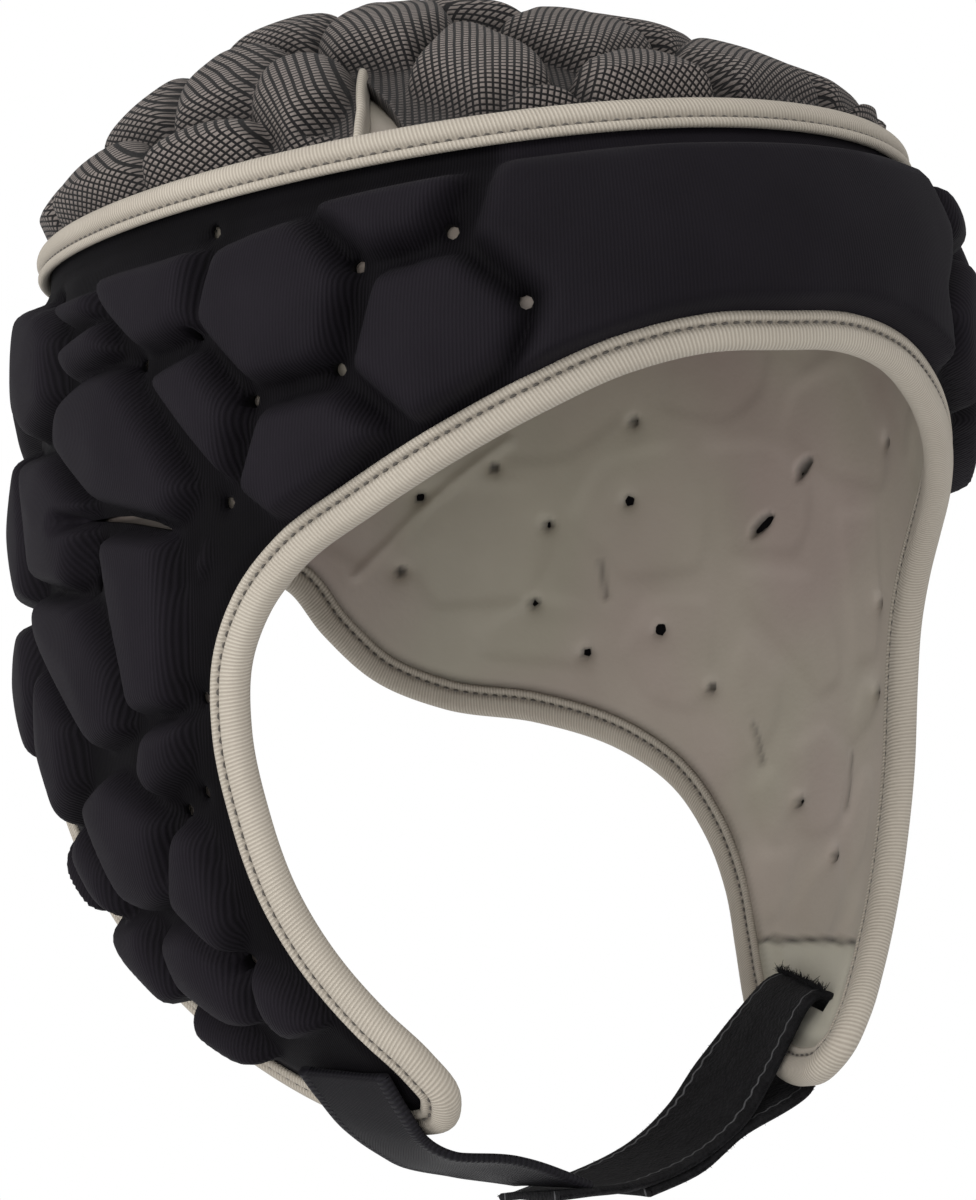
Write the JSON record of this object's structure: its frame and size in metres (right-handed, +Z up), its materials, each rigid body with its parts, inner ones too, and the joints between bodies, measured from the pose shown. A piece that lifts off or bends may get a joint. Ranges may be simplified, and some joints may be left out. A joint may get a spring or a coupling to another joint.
{
  "type": "rugby scrum cap",
  "caption": "Soft padded rugby head guard with raised foam pads, a net-covered crown, taped edges, ear flaps and a hook-and-loop chin strap.",
  "frame": {"origin": "inner top of the crown, where the top of the wearer's head touches", "axes": "+Z up, the face opening towards -Y, the wearer's right towards -X"},
  "size_m": [0.1888, 0.2199, 0.2418],
  "materials": {
    "black_cloth": "fine ribbed stretch cloth",
    "foam_lining": "smooth skinned foam",
    "crown_net": "black net over taupe cloth",
    "beige_tape": "ribbed stretch tape",
    "strap_webbing": "satin webbing",
    "strap_loop": "brushed loop pile"
  },
  "bodies": {
    "root": {"padded_band": "black_cloth", "band_lining": "foam_lining", "crown_pad": "crown_net", "crown_lining": "foam_lining", "crown_binding": "beige_tape", "edge_binding": "beige_tape", "strap_base": "strap_webbing", "chin_strap": "strap_loop"}
  },
  "joints": []
}
